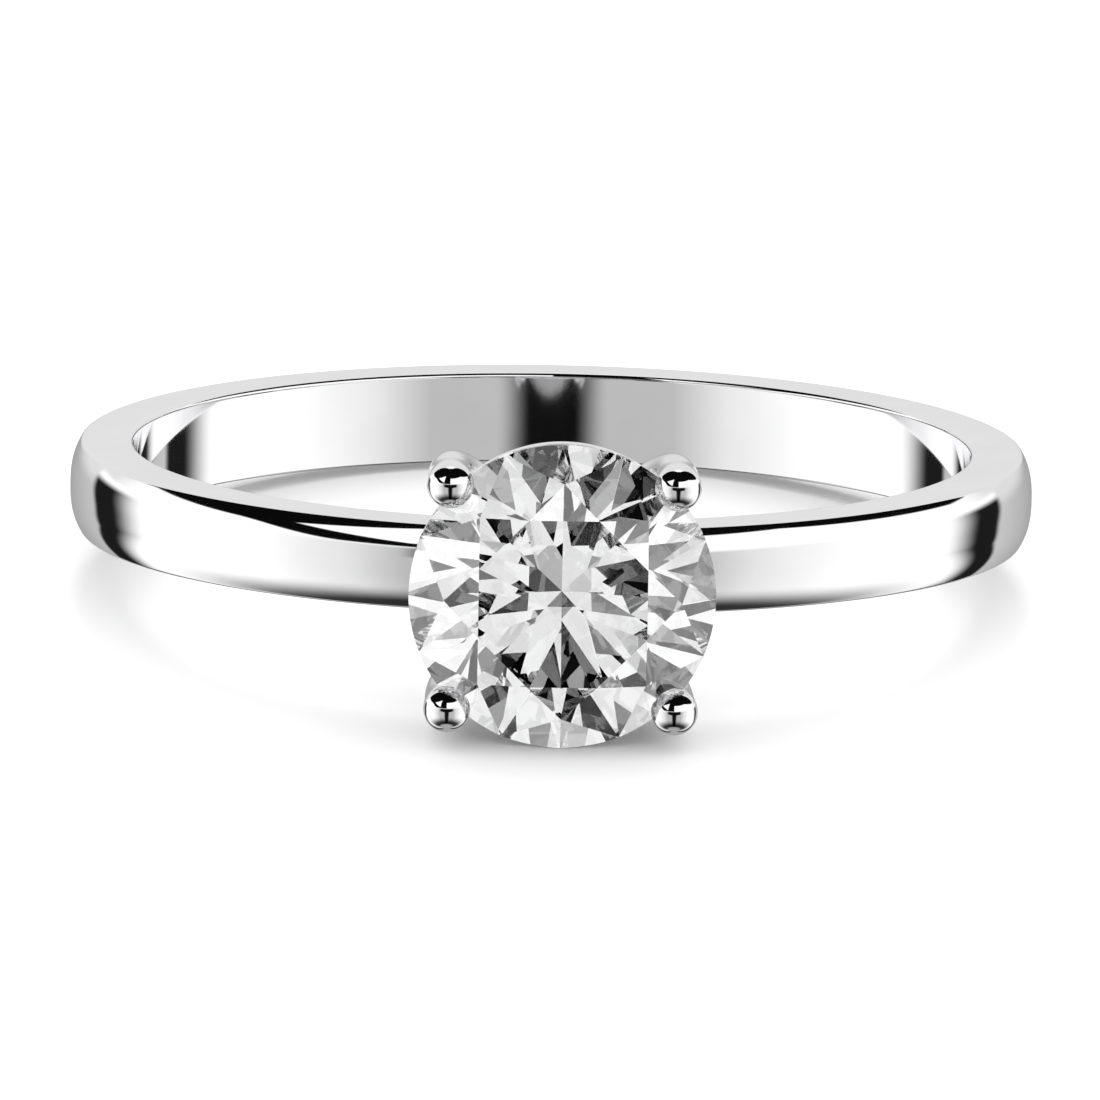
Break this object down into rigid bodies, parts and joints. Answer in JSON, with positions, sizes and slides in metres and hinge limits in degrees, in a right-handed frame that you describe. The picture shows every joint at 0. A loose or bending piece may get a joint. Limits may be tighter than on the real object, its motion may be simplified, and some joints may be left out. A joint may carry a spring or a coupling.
{
  "type": "engagement ring",
  "caption": "Slim polished finger ring with a tapering band and a raised claw basket that holds a round brilliant-cut clear stone.",
  "frame": {"origin": "centre of the finger hole, midway between the band's two side faces", "axes": "+Z runs along the finger hole, -Y points from the finger-hole centre through the stone, +X completes the frame"},
  "size_m": [0.0198, 0.0233, 0.006],
  "materials": {
    "polished_white_metal": "mirror-polished, rhodium-plated white gold or platinum",
    "claw_white_metal": "mirror-polished, rhodium-plated white gold or platinum",
    "clear_stone": "polished colourless brilliant-cut facets"
  },
  "bodies": {
    "root": {"shank": "polished_white_metal", "base_ring": "polished_white_metal", "gallery_rail": "polished_white_metal", "claw_upper_right": "claw_white_metal", "claw_upper_left": "claw_white_metal", "claw_lower_left": "claw_white_metal", "claw_lower_right": "claw_white_metal", "centre_stone": "clear_stone"}
  },
  "joints": []
}
